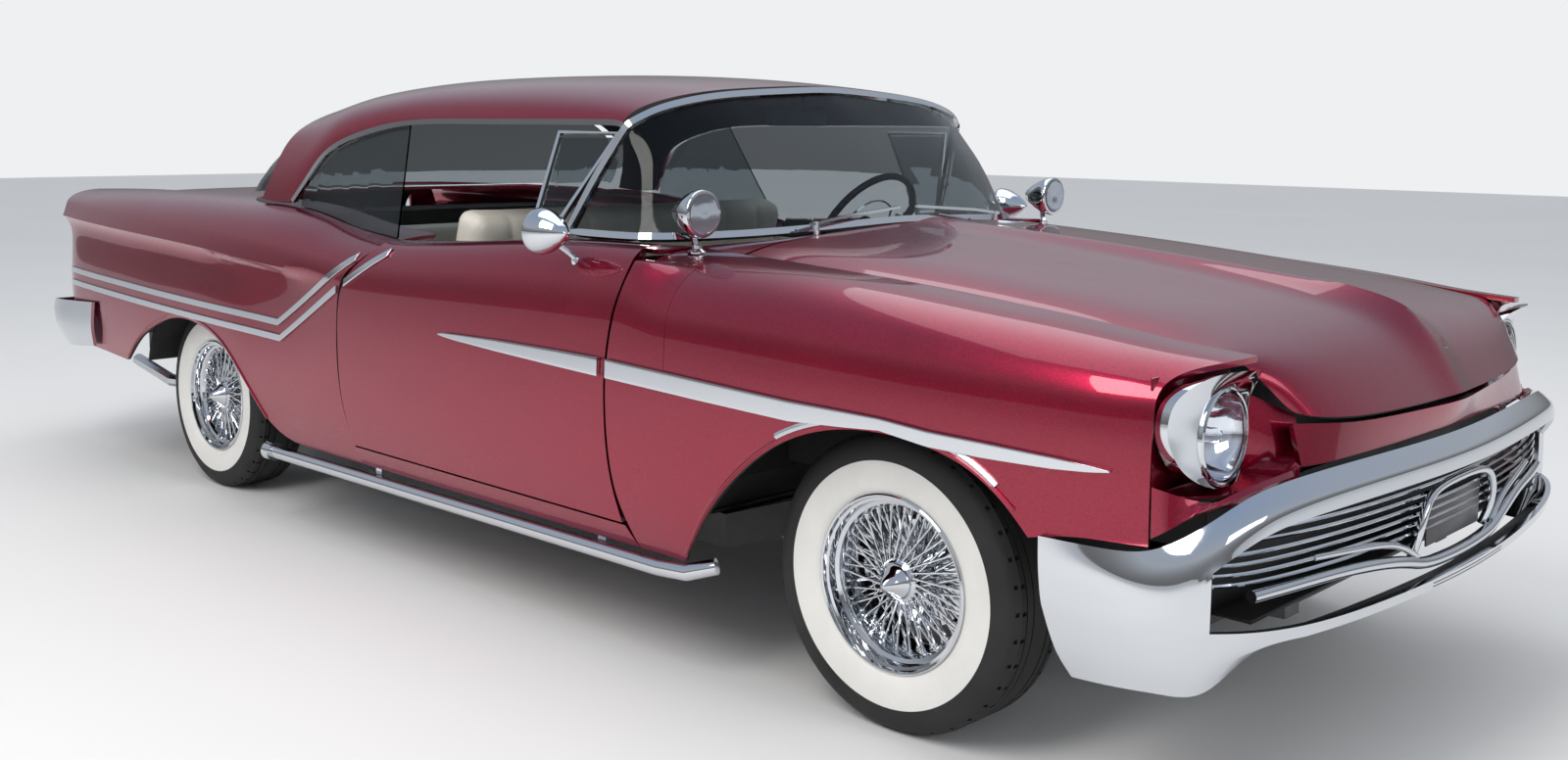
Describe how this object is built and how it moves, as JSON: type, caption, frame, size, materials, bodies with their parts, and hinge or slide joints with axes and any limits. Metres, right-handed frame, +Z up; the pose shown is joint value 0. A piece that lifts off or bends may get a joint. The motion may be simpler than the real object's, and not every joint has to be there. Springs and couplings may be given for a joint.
{
  "type": "classic car",
  "caption": "Two-door hardtop coupe with tail fins, chrome bumpers, wire wheels, opening doors, hood and trunk lid, and steered front wheels.",
  "frame": {"origin": "on the ground, midway along and across the car", "axes": "+Z up; the front faces -Y; +X is the left, driver's side"},
  "size_m": [2.12, 5.288, 1.4807],
  "materials": {
    "paint": "metallic gloss",
    "chrome": "polished",
    "black": "satin",
    "glass": "clear",
    "lens": "clear red",
    "trim": "satin",
    "tyre": "matt",
    "plastic": "gloss",
    "iron": "rough"
  },
  "bodies": {
    "body": {"chassis_frame": "black", "floor_pan": "black", "inner_fenders": "black", "cowl": "paint", "rockers": "paint", "front_panel": "paint", "left_front_fender": "paint", "right_front_fender": "paint", "left_rear_quarter": "paint", "right_rear_quarter": "paint", "roof": "paint", "deck_panel": "paint", "tail_panel": "paint", "windshield_frame": "chrome", "windshield": "glass", "rear_window": "glass", "quarter_windows": "glass", "front_bumper": "chrome", "grille": "chrome", "rear_bumper": "chrome", "headlight_bezels": "chrome", "headlamps": "glass", "tail_lights": "lens", "lake_pipes": "chrome", "spotlights": "chrome", "wipers": "chrome", "dashboard": "black", "steering_column": "plastic", "front_seat": "trim", "rear_seat": "trim", "engine_block": "iron", "front_suspension": "iron", "rear_suspension": "iron", "fuel_tank": "black", "exhaust": "chrome"},
    "left_door_assembly": {"left_door": "paint", "left_vent_frame": "chrome", "left_vent_glass": "glass", "left_mirror": "chrome"},
    "right_door_assembly": {"right_door": "paint", "right_vent_frame": "chrome", "right_vent_glass": "glass", "right_mirror": "chrome"},
    "hood_assembly": {"hood": "paint"},
    "trunk_lid_assembly": {"trunk_lid": "paint"},
    "steering_wheel_assembly": {"steering_wheel": "plastic"},
    "left_knuckle_assembly": {"left_knuckle": "iron"},
    "right_knuckle_assembly": {"right_knuckle": "iron"},
    "front_left_wheel_assembly": {"front_left_tyre": "tyre", "front_left_wheel": "chrome"},
    "front_right_wheel_assembly": {"front_right_tyre": "tyre", "front_right_wheel": "chrome"},
    "rear_left_wheel_assembly": {"rear_left_tyre": "tyre", "rear_left_wheel": "chrome"},
    "rear_right_wheel_assembly": {"rear_right_tyre": "tyre", "rear_right_wheel": "chrome"}
  },
  "joints": [
    {"name": "left_door_hinge", "type": "hinge", "parent": "body", "child": "left_door_assembly", "pos_m": [0.972, -0.932, 0.65], "axis": [0, 0, -1], "range_deg": [0, 65]},
    {"name": "right_door_hinge", "type": "hinge", "parent": "body", "child": "right_door_assembly", "pos_m": [-0.972, -0.932, 0.65], "axis": [0, 0, 1], "range_deg": [0, 65]},
    {"name": "hood_hinge", "type": "hinge", "parent": "body", "child": "hood_assembly", "pos_m": [0, -1.19, 1.082], "axis": [-1, 0, 0], "range_deg": [0, 50]},
    {"name": "trunk_lid_hinge", "type": "hinge", "parent": "body", "child": "trunk_lid_assembly", "pos_m": [0, 1.522, 1.062], "axis": [1, 0, 0], "range_deg": [0, 55]},
    {"name": "front_left_steer", "type": "hinge", "parent": "body", "child": "left_knuckle_assembly", "pos_m": [0.64, -1.719, 0.331], "axis": [0, 0, 1], "range_deg": [-30, 30]},
    {"name": "front_right_steer", "type": "hinge", "parent": "body", "child": "right_knuckle_assembly", "pos_m": [-0.64, -1.719, 0.331], "axis": [0, 0, 1], "range_deg": [-30, 30]},
    {"name": "steering_wheel_turn", "type": "hinge", "parent": "body", "child": "steering_wheel_assembly", "pos_m": [0.37, -0.64, 0.985], "axis": [0, 0.866, 0.5], "range_deg": [-480, 480]},
    {"name": "front_left_wheel_spin", "type": "hinge", "parent": "left_knuckle_assembly", "child": "front_left_wheel_assembly", "pos_m": [0.74, -1.719, 0.331], "axis": [1, 0, 0], "continuous": true},
    {"name": "front_right_wheel_spin", "type": "hinge", "parent": "right_knuckle_assembly", "child": "front_right_wheel_assembly", "pos_m": [-0.74, -1.719, 0.331], "axis": [1, 0, 0], "continuous": true},
    {"name": "rear_left_wheel_spin", "type": "hinge", "parent": "body", "child": "rear_left_wheel_assembly", "pos_m": [0.74, 1.381, 0.331], "axis": [1, 0, 0], "continuous": true},
    {"name": "rear_right_wheel_spin", "type": "hinge", "parent": "body", "child": "rear_right_wheel_assembly", "pos_m": [-0.74, 1.381, 0.331], "axis": [1, 0, 0], "continuous": true}
  ],
  "couplings": [
    {"joint": "front_right_steer", "follows": "front_left_steer", "ratio": 1},
    {"joint": "steering_wheel_turn", "follows": "front_left_steer", "ratio": 16}
  ]
}
